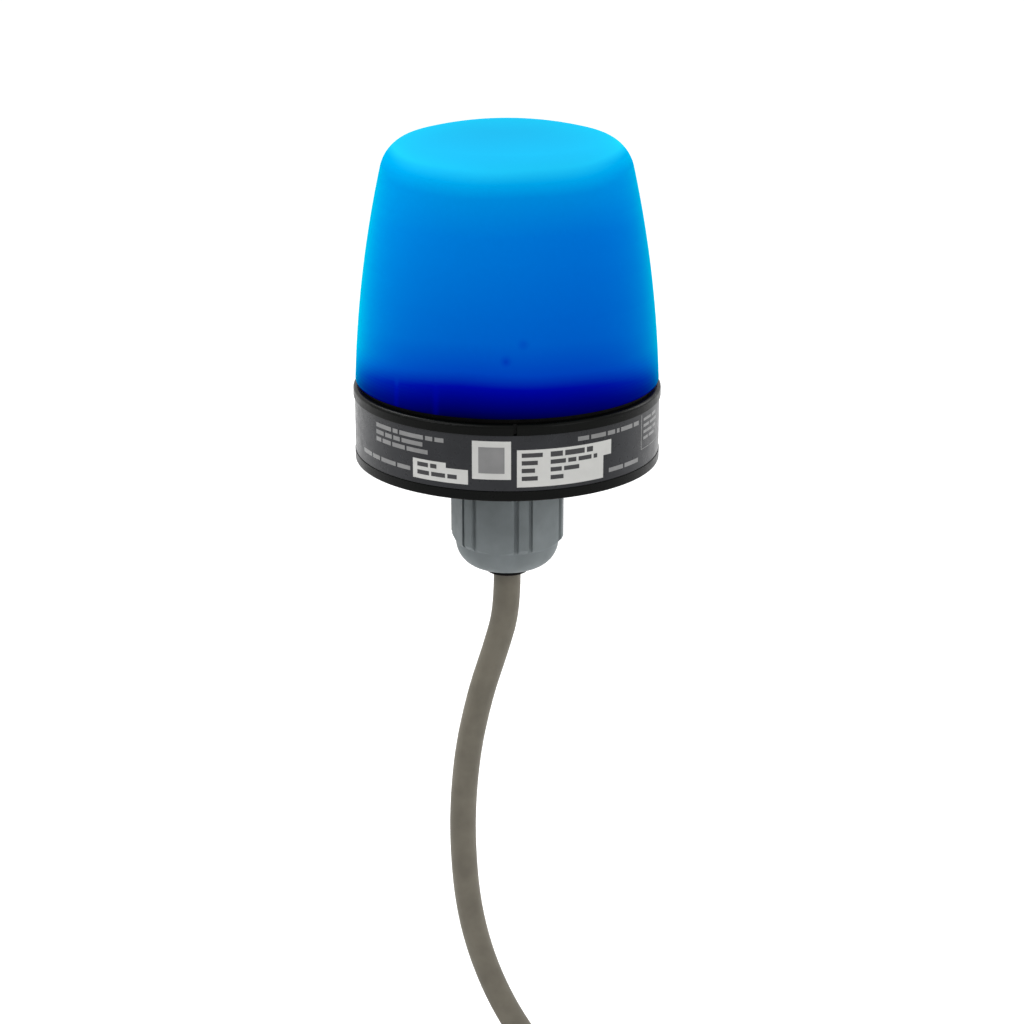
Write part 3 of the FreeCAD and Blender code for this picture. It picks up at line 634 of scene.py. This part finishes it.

# %% [markdown]
# On the left the glow is painted lighter and greener than on the right, up to the shoulder: painted light
# and reflection from the left side. So the colour is multiplied by a second one, which goes from one side
# to the other: red stays, and green and a little of the blue fall towards the right.

# %% Painted light, lighter on the left side
painted_left_green = 0.24
painted_left_blue = 0.06
painted_light_fade = (66 * MM, 82 * MM)


def painted_side_light(tree, where):
    """Painted light: shares of red, green and blue, higher on the left side than on the right."""
    x, _, z = split_axes(tree, where)
    to_right = reckon(tree, "MULTIPLY", x, spread(tree, z, 1 / globe_radius, 0, *painted_light_fade))
    side_light = tree.nodes.new("ShaderNodeCombineXYZ")
    side_light.inputs["X"].default_value = 1
    for channel, extra in (("Y", painted_left_green), ("Z", painted_left_blue)):
        share = reckon(tree, "SUBTRACT", 1, reckon(tree, "MULTIPLY", to_right, extra))
        tree.links.new(share, side_light.inputs[channel])
    return side_light.outputs["Vector"]


print("green at the left edge: %.2f times that of the middle" % (1 + painted_left_green))

# %% [markdown]
# The ramp drives the plastic's colour and its emission alike. A tinted sheen gives the bright edge that
# a thick milky moulding shows where it is seen aslant. The plastic has no mirror gloss, which would lay
# a grey veil over that edge.

# %% Lit plastic of the globe
glow_low = 16 * MM
glow_strength = 0.75
# The stops below the foot's own height are reached only where painted shade takes height off, and darken
# the foot nearly to black.
glow_stops = [
    (16.5, (0.0, 0.0, 0.016)),
    (21.7, (0.0, 0.0, 0.13)),
    (24.8, (0.0, 0.0, 0.21)),
    (28.5, (0.0, 0.03, 0.295)),
    (37.5, (0.0, 0.063, 0.336)),
    (67.0, (0.0, 0.101, 0.385)),
    (76.6, (0.0, 0.144, 0.416)),
    (80.0, (0.0, 0.22, 0.48)),
    (83.0, (0.008, 0.316, 0.53)),
    (90.0, (0.009, 0.22, 0.41)),
]
glow_ramp = [((height * MM - glow_low) / (globe_top - glow_low), colour) for height, colour in glow_stops]
globe_wear_size = 3 * MM
globe_gloss = (0.3, 0.36)


def lit_blue(name, sheen, sheen_roughness, sheen_tint):
    """Milky blue plastic, lit from below, with a given sheen."""
    finish, tree, shader, where = new_finish(name)
    height = take_off_specks(tree, where, add_stripes(tree, where, glow_height(tree, where)))
    glow = shades(tree, spread(tree, height, 0, 1, glow_low, globe_top), glow_ramp)
    # The glow's colour times the painted side light, for both the plastic's colour and its emission.
    uneven = tree.nodes.new("ShaderNodeVectorMath")
    uneven.operation = "MULTIPLY"
    tree.links.new(glow, uneven.inputs[0])
    tree.links.new(painted_side_light(tree, where), uneven.inputs[1])
    tree.links.new(uneven.outputs["Vector"], shader.inputs["Base Color"])
    tree.links.new(uneven.outputs["Vector"], shader.inputs["Emission Color"])
    shader.inputs["Emission Strength"].default_value = glow_strength
    gloss = spread(tree, speckle(tree, where, globe_wear_size), *globe_gloss)
    tree.links.new(gloss, shader.inputs["Roughness"])
    shader.inputs["Specular IOR Level"].default_value = 0.0
    shader.inputs["Sheen Weight"].default_value = sheen
    shader.inputs["Sheen Roughness"].default_value = sheen_roughness
    shader.inputs["Sheen Tint"].default_value = (*sheen_tint, 1)
    return finish


print("glow from %.1f to %.1f mm" % (glow_stops[0][0], glow_stops[-1][0]))

# %% [markdown]
# Down at the foot the bright edge is narrower and a deeper blue, and the crown is lit evenly, so the sheen
# changes with the height. A sheen that is linked to a texture would be lost when the model is exported. It
# changes in rings of faces, each with its own finish. At the foot, where the change is quick, the rings
# are narrow and go up in even steps, so that no step shows.

# %% Globe finishes, ring by ring
foot_rings = 11
foot_low = 22.4
foot_high = 33.4
foot_roughness = (0.24, 0.4)
foot_green = (0.76, 0.96)
foot_blue = (1.0, 0.96)
edge_tint = (0.0, 0.8, 1.0)
side_tint = (0.0, 0.96, 0.96)


def between(ends, share):
    """Number between two ends."""
    return ends[0] + (ends[1] - ends[0]) * share


globe_rings = [("globe_foot_edge", foot_low, 0.0, 0.4, edge_tint)]
for ring in range(1, foot_rings + 1):
    top = between((foot_low, foot_high), ring / foot_rings)
    middle = (ring - 0.5) / foot_rings
    tint = (0.0, between(foot_green, middle), between(foot_blue, middle))
    globe_rings.append(("globe_foot_%d" % ring, top, 1.0, between(foot_roughness, middle), tint))
globe_rings += [
    ("globe_side", 46.0, 1.0, 0.4, side_tint),
    ("globe_mid_side", 54.0, 1.0, 0.393, side_tint),
    ("globe_high_side", 62.0, 0.99, 0.386, side_tint),
    ("globe_upper_side", 70.0, 0.97, 0.38, side_tint),
    ("globe_below_shoulder", 76.0, 0.93, 0.372, side_tint),
    ("globe_shoulder_foot", 80.0, 0.86, 0.365, side_tint),
    ("globe_shoulder", 82.5, 0.6, 0.36, side_tint),
    ("globe_crown", 91.0, 0.33, 0.36, side_tint),
]
ring_tops = []
for name, top, *sheen in globe_rings:
    globe.data.materials.append(lit_blue(name, *sheen))
    ring_tops.append(top * MM)
for face in globe.data.polygons:
    face.material_index = sum(face.center.z > top for top in ring_tops)
print("globe finishes:", len(globe.data.materials))

# %% [markdown]
# ## Base, gasket and label film
# The base and its rim are satin black plastic. The film on its band is a dark grey print with a slightly
# smoother skin. Rubber takes the same noise with a rougher, duller surface; the globe's gasket and the
# gland's seal get a blacker rubber than the washer, which is painted shade for the gaps they sit in.

# %% Black plastics, rubber and film
housing_black = moulded("housing_black", (0.0022, 0.0026, 0.0022), 0.3, depth=0.003 * MM, specular=0.07)
washer_rubber = moulded("matt_rubber", (0.006, 0.006, 0.006), 0.7, mottle=0.25, specular=0.2)
label_film = moulded("label_film", (0.018, 0.019, 0.022), 0.3, grain=0.3 * MM, depth=0.0012 * MM,
                     specular=0.2)
# Painted shade: a blacker, duller rubber for the gasket under the globe and the seal in the nut's mouth.
black_rubber_with_shade = moulded("black_rubber_with_shade", (0.0025, 0.0025, 0.0025), 0.75, mottle=0.25, specular=0.08)
wear_finish(housing_black, "base_housing")
wear_finish(washer_rubber, "gland_washer")
wear_finish(black_rubber_with_shade, "globe_gasket", "gland_seal")
wear_finish(label_film, "label_band")

# %% [markdown]
# ### Printed fields
# The film carries pale fields and plain rules, as a rating label has before it is filled in, with dark
# bars in the fields where a line would be written. Each is a skin of ink on a cylinder: an upright edge,
# spun about the beacon's axis through the field's angle. Parts that meet share their steps, so stepped
# fields merge into one sheet, which then gets a hair of thickness, outwards like the strap's. A second
# layer of ink lies on the first.

# %% Fields on the film
film_radius = 41.05 * MM
ink = 0.02 * MM
ink_step = 1.4


def front_place(azimuth, level, layer):
    """Point on a layer of ink, with the azimuth in degrees from the front."""
    angle = math.radians(azimuth - 90)
    radius = film_radius + layer * ink
    return Vector((radius * math.cos(angle), radius * math.sin(angle), level * MM))


def printed(name, parts, finish, layer=0):
    """Skin of ink over parts of the film: (first azimuth, last azimuth, low, high)."""
    mesh = bmesh.new()
    for first, last, low, high in parts:
        foot = mesh.verts.new(front_place(first, low, layer))
        top = mesh.verts.new(front_place(first, high, layer))
        edge = mesh.edges.new((foot, top))
        bmesh.ops.spin(mesh, geom=[foot, top, edge], cent=(0, 0, 0), axis=(0, 0, 1),
                       angle=math.radians(last - first), steps=max(2, round((last - first) / ink_step)))
    bmesh.ops.remove_doubles(mesh, verts=mesh.verts, dist=WELD)
    bmesh.ops.recalc_face_normals(mesh, faces=mesh.faces)
    for face in mesh.faces:
        if face.normal.dot(Vector((*face.calc_center_median().xy, 0))) < 0:
            face.normal_flip()
    bmesh.ops.solidify(mesh, geom=mesh.faces[:], thickness=-ink)
    bmesh.ops.reverse_faces(mesh, faces=mesh.faces[:])
    piece = finish_mesh(name, mesh)
    piece.data.materials.append(finish)
    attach(piece, "base")
    print(name, "faces:", len(piece.data.polygons))


def printer_ink(name, shade, roughness, mottle):
    """Ink on the film: a moulded finish with a very fine grain."""
    return moulded(name, shade, roughness, grain=0.3 * MM, depth=0.004 * MM, mottle=mottle)


pale_ink = printer_ink("pale_ink", (0.56, 0.56, 0.54), 0.45, 0.04)
printed("label_fields", [
    (-36.2, -22.4, 4.2, 8.1),
    (-22.4, -14.0, 4.2, 8.1),
    (-36.2, -22.4, 8.1, 9.45),
    (-12.5, 1.5, 5.9, 16.1),
    (3.6, 37.3, 3.8, 9.85),
    (3.6, 37.3, 9.85, 13.75),
    (37.3, 41.0, 9.85, 13.75),
], pale_ink)

# %% [markdown]
# A line of the label is a row of bars, so a helper lays bars of given widths side by side from a
# starting angle. The bars are as high as small print, and plain: they show how the label is laid out,
# and say nothing.

# %% Dark bars in the fields
bar_height = 1.15
tall_bar = 1.4
bar_gap = 0.9


def bar_row(first, level, widths, height=bar_height):
    """Bars of some widths in degrees, one after the other, at one height."""
    bars = []
    for width in widths:
        bars.append((first, first + width, level - height / 2, level + height / 2))
        first += width + bar_gap
    return bars


dark_bars = bar_row(-34.2, 8.1, [4.6, 2.6])
dark_bars += bar_row(-34.2, 5.95, [5.0, 5.6, 3.6])
dark_bars += bar_row(5.3, 12.3, [7.6]) + bar_row(15.8, 12.3, [4.6, 7.8, 2.6], tall_bar)
dark_bars += bar_row(5.3, 10.25, [5.8]) + bar_row(15.8, 10.25, [5.8, 3.2, 5.4, 1.6])
dark_bars += bar_row(5.3, 8.2, [4.8]) + bar_row(15.8, 8.2, [4.2, 6.0])
dark_bars += bar_row(5.3, 6.1, [5.8]) + bar_row(15.8, 6.1, [4.9])
dark_ink = printer_ink("dark_ink", (0.012, 0.012, 0.014), 0.45, 0.15)
printed("label_field_bars", dark_bars, dark_ink, layer=1)

# %% [markdown]
# Beside the fields the bars stand on the film itself, in grey. The same ink makes a plain square in the
# middle field, and a thin frame round the small rows on the right.

# %% Grey square, bars and rules
small_bar = 0.8
grey_ink = printer_ink("grey_ink", (0.2, 0.2, 0.2), 0.4, 0.1)
printed("label_square", [(-10.2, -0.8, 7.5, 14.5)], grey_ink, layer=1)

grey_bars = bar_row(-56.2, 15.3, [9.2, 2.6, 11.0, 3.0, 3.6])
grey_bars += bar_row(-56.2, 13.4, [4.8, 3.8, 3.4, 9.6])
grey_bars += bar_row(-56.2, 11.5, [3.2, 4.8, 6.4, 9.4])
grey_bars += bar_row(-67.0, 6.3, [7.0, 5.0, 8.4, 6.4])
grey_bars += bar_row(26.3, 15.5, [4.6, 6.6, 3.6, 1.4, 6.6, 3.4])
grey_bars += bar_row(40.0, 5.4, [7.4, 8.6])
grey_bars += bar_row(60.8, 15.6, [7.0, 5.0], small_bar) + bar_row(60.8, 13.9, [5.0, 8.0], small_bar)
grey_bars += bar_row(60.8, 12.2, [8.0, 4.0], small_bar) + bar_row(60.8, 10.5, [4.0, 6.0], small_bar)
grey_bars += [(59.0, 59.4, 7.6, 7.75), (59.0, 59.4, 7.75, 17.1), (59.4, 86.0, 7.6, 7.75)]
printed("label_rules", grey_bars, grey_ink)

# %% [markdown]
# ## The gland nut
# The nut has six flats, a flat-topped rib between two grooves at each corner, and a round nose. The
# grip's outline is eight points for one corner, turned to the six corners, with the flats divided so
# that they can follow a curve. `bridge_loops` joins it to a hidden round hole.

# %% Outline of the grip
nut_corners = 6
nut_turn = math.radians(-73)
nut_top = -7.1 * MM
nut_apothem = 14.36 * MM
rib_reach = 15.58 * MM
rib_half = 1.35 * MM
groove_floor = 14.25 * MM
groove_edge = rib_half + 1.25 * MM
nose_radius = 14.16 * MM
hole_radius = nose_radius - 0.9 * MM
round_steps = 96
flat_cuts = 11
flat_least = 2 * rib_half + 1 * MM
flat_start = nut_apothem / math.cos(math.pi / 6) - groove_edge / math.tan(math.pi / 3)
corner_line = [(flat_start, -groove_edge), (groove_floor, -groove_edge), (groove_floor, -rib_half),
               (rib_reach, -rib_half), (rib_reach, rib_half), (groove_floor, rib_half),
               (groove_floor, groove_edge), (flat_start, groove_edge)]

nut_mesh = bmesh.new()
outline = []
for corner in range(nut_corners):
    turn = Matrix.Rotation(nut_turn + corner * whole_turn / nut_corners, 3, "Z")
    outline += [nut_mesh.verts.new(turn @ Vector((x, y, nut_top))) for x, y in corner_line]
for pair in zip(outline, outline[1:] + outline[:1]):
    nut_mesh.edges.new(pair)
flat_edges = [edge for edge in nut_mesh.edges if edge.calc_length() > flat_least]
bmesh.ops.subdivide_edges(nut_mesh, edges=flat_edges, cuts=flat_cuts)
bmesh.ops.create_circle(nut_mesh, segments=round_steps, radius=hole_radius,
                        matrix=Matrix.Translation((0, 0, nut_top)))
bmesh.ops.bridge_loops(nut_mesh, edges=nut_mesh.edges[:])
print("flats:", len(flat_edges), "faces of the grip's top:", len(nut_mesh.faces))

# %% [markdown]
# One extrusion makes the grip. Its lower end was turned to a slope in the mould, so each point there
# rises by as much as it stands outside the nose: that bends the lower edge of the flats. A narrow bevel
# then softens the edges, as on any moulding.

# %% Ribbed grip
grip_low = -24.5 * MM
grip_round = 0.14 * MM
grip_sharp = math.radians(25)

lowered_grip = bmesh.ops.extrude_face_region(nut_mesh, geom=nut_mesh.faces[:])
for part in lowered_grip["geom"]:
    if isinstance(part, bmesh.types.BMVert):
        part.co.z = grip_low + part.co.xy.length - nose_radius
bmesh.ops.recalc_face_normals(nut_mesh, faces=nut_mesh.faces)
outer_edges = [edge for edge in nut_mesh.edges
               if all(vert.co.xy.length > nose_radius for vert in edge.verts)
               and edge.calc_face_angle(0) > grip_sharp]
bmesh.ops.bevel(nut_mesh, geom=outer_edges, offset=grip_round, segments=2, profile=0.5,
                affect="EDGES", material=-1)
print("grip faces:", len(nut_mesh.faces))

# %% [markdown]
# The nose is turned, not flat-sided. Its outline starts at the mouth, goes round the nose with a point
# spun about the round's centre, runs up inside the grip, and comes back down past the cone that squeezes
# the fingers.

# %% Round nose and sleeve
nose_round = 7.2 * MM
nose_low = -31.8 * MM
nose_round_steps = 16
mouth_radius = 6.4 * MM
mouth_floor = -27.5 * MM
bore_radius = 11.46 * MM
sleeve_top = nut_top - 0.05 * MM
cone_top = -18.6 * MM
cone_wide = 10.7 * MM
cone_low = -25.1 * MM
cone_narrow = 9.3 * MM


def draw_line(mesh, start, places):
    """Straight edges from a point through (radius, height) places, and the last point."""
    for radius, height in places:
        point = mesh.verts.new((radius, 0, height))
        mesh.edges.new((start, point))
        start = point
    return start


nose_mesh = bmesh.new()
mouth = nose_mesh.verts.new((mouth_radius, 0, nose_low))
round_centre = Vector((nose_radius - nose_round, 0, nose_low + nose_round))
point = draw_line(nose_mesh, mouth, [(round_centre.x, nose_low)])
point = draw_arc(nose_mesh, point, round_centre, 0, nose_round_steps)
point = draw_line(nose_mesh, point, [
    (nose_radius, sleeve_top),
    (bore_radius, sleeve_top),
    (bore_radius, cone_top),
    (cone_wide, cone_top),
    (cone_narrow, cone_low),
    (cone_narrow, mouth_floor),
    (mouth_radius, mouth_floor),
])
nose_mesh.edges.new((point, mouth))
bmesh.ops.spin(nose_mesh, geom=nose_mesh.verts[:] + nose_mesh.edges[:], cent=(0, 0, 0), axis=(0, 0, 1),
               angle=whole_turn, steps=round_steps, use_merge=True)
bmesh.ops.recalc_face_normals(nose_mesh, faces=nose_mesh.faces)
print("nose faces:", len(nose_mesh.faces))

# %% [markdown]
# Grip and nose are one moulding, so the nose's mesh is added to the grip's. Both overlap inside, where
# nothing shows. The plastic is a cool grey with hardly any gloss, and the gland's body and locknut are
# made of the same.

# %% Nut in one piece
nose_data = bpy.data.meshes.new("nut_nose")
nose_mesh.to_mesh(nose_data)
nose_mesh.free()
nut_mesh.from_mesh(nose_data)
bpy.data.meshes.remove(nose_data)
nut = finish_mesh("ribbed_nut", nut_mesh, smooth_angle=30)
gland_grey = moulded("gland_grey", (0.19, 0.212, 0.218), 0.5, grain=0.6 * MM, depth=0.02 * MM,
                     mottle=0.07, specular=0.06)
nut.data.materials.append(gland_grey)
wear_finish(gland_grey, "gland_body", "gland_locknut")
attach(nut, "gland_nut")
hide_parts("gland_nut")
print("nut faces:", len(nut.data.polygons))

# %% [markdown]
# ## Inside the globe and the base
# The light board, its parts and the plug are hidden while the globe is on, and still get their own
# finishes: a white board, pale lamp cases, black chips, drawn aluminium cans, zinc screws, brass inserts
# and natural nylon.

# %% Inner finishes
wear_finish(moulded("board_white", (0.72, 0.73, 0.7), 0.4, mottle=0.04), "led_board")
wear_finish(moulded("lamp_case", (0.78, 0.77, 0.7), 0.45, mottle=0.05), "leds")
wear_finish(moulded("chip_black", (0.02, 0.02, 0.021), 0.5, mottle=0.2),
            "chip_resistors", "choke", "driver_chip", "diodes")
wear_finish(metal("drawn_aluminium", (0.76, 0.76, 0.77), 0.3, (1, 1, 10)), "capacitors")
wear_finish(metal("zinc_steel", (0.6, 0.6, 0.61), 0.34, (6, 6, 1)), "board_screws")
wear_finish(metal("turned_brass", (0.72, 0.5, 0.19), 0.28, (1, 1, 14)), "mounting_inserts")
wear_finish(moulded("natural_nylon", (0.68, 0.65, 0.57), 0.42, mottle=0.06),
            "header_shell", "lead_plug", "slip_washer")
print("finishes in all:", len(bpy.data.materials))

# %% [markdown]
# ## Floor and light
# The beacon hangs in a white studio, with a pale floor below it. Where the camera or a reflection sees
# the floor or the room, they are plain white: `Light Path` tells those rays from the rays that carry
# light. The white is the background's alone, so it adds no light to the object.

# %% Floor
floor_reach = 40
floor_level = cad_box[0].z - 5 * MM
floor_white = 0.46


def seen_rays(tree):
    """One for the rays that show the background, in the picture or in a reflection, and zero for light."""
    rays = tree.nodes.new("ShaderNodeLightPath")
    seen = rays.outputs["Is Camera Ray"]
    for kind in ("Is Glossy Ray", "Is Transmission Ray"):
        seen = reckon(tree, "MAXIMUM", seen, rays.outputs[kind])
    return seen


floor_mesh = bmesh.new()
bmesh.ops.create_grid(floor_mesh, x_segments=1, y_segments=1, size=floor_reach)
bmesh.ops.translate(floor_mesh, vec=(0, 0, floor_level), verts=floor_mesh.verts)
floor = finish_mesh("floor", floor_mesh)
floor_finish, tree, shader, _ = new_finish("floor_white")
shader.inputs["Base Color"].default_value = (0.8, 0.8, 0.8, 1)
shader.inputs["Roughness"].default_value = 0.9
tree.links.new(spread(tree, seen_rays(tree), 0, floor_white, 0, 1), shader.inputs["Emission Strength"])
shader.inputs["Emission Color"].default_value = (1, 1, 1, 1)
floor.data.materials.append(floor_finish)
print("floor at %.3f m" % floor_level)

# %% [markdown]
# As light, the room is bright behind the beacon and dimmer on the camera's side, which shades the front
# and lets the edges stand out. It is a ramp over the direction, a little lighter on the right.

# %% Room
right_share = 0.35
room_shades = [
    (0.0, (0.3, 0.3, 0.3)),
    (0.35, (0.45, 0.45, 0.45)),
    (0.75, (1.0, 1.0, 1.0)),
]

world = bpy.data.worlds.new("studio")
world.use_nodes = True
bpy.context.scene.world = world
tree = world.node_tree
sky_where = tree.nodes.new("ShaderNodeTexCoord")
sky_x, sky_y, _ = split_axes(tree, sky_where.outputs["Generated"])
to_back = reckon(tree, "ADD", sky_y, reckon(tree, "MULTIPLY", sky_x, right_share))
room = shades(tree, spread(tree, to_back, 0, 1, -1, 1), room_shades, smooth="EASE")
backdrop = tree.nodes.new("ShaderNodeMix")
backdrop.data_type = "RGBA"
backdrop.inputs["B"].default_value = (1, 1, 1, 1)
tree.links.new(seen_rays(tree), backdrop.inputs["Factor"])
tree.links.new(room, backdrop.inputs["A"])
tree.links.new(backdrop.outputs["Result"], tree.nodes["Background"].inputs["Color"])
tree.nodes["Background"].inputs["Strength"].default_value = 1.0
print("room shades:", len(room_shades))

# %% [markdown]
# A large soft lamp hangs above and to the left, a weak one fills in from the right, and two behind the
# beacon light its edges.

# %% Lamps
lamp_target = Vector((0, 0, 0.03))
softboxes = [
    ("key_softbox", (-0.7, -0.65, 0.95), 0.9, 6.5),
    ("fill_softbox", (0.75, -0.7, 0.35), 0.7, 2.4),
    ("left_softbox", (-0.75, 0.4, 0.95), 0.6, 9),
    ("right_softbox", (0.95, 0.55, 0.45), 0.6, 4),
]


def add_softbox(name, place, size, energy):
    """Round soft lamp that looks at the middle of the beacon."""
    data = bpy.data.lights.new(name, "AREA")
    data.shape = "DISK"
    data.size = size
    data.energy = energy
    lamp = bpy.data.objects.new(name, data)
    lamp.location = place
    aim = lamp.location - lamp_target
    lamp.rotation_euler = aim.to_track_quat("Z", "Y").to_euler()
    bpy.context.scene.collection.objects.link(lamp)


for softbox in softboxes:
    add_softbox(*softbox)
print("lamps:", len(softboxes))
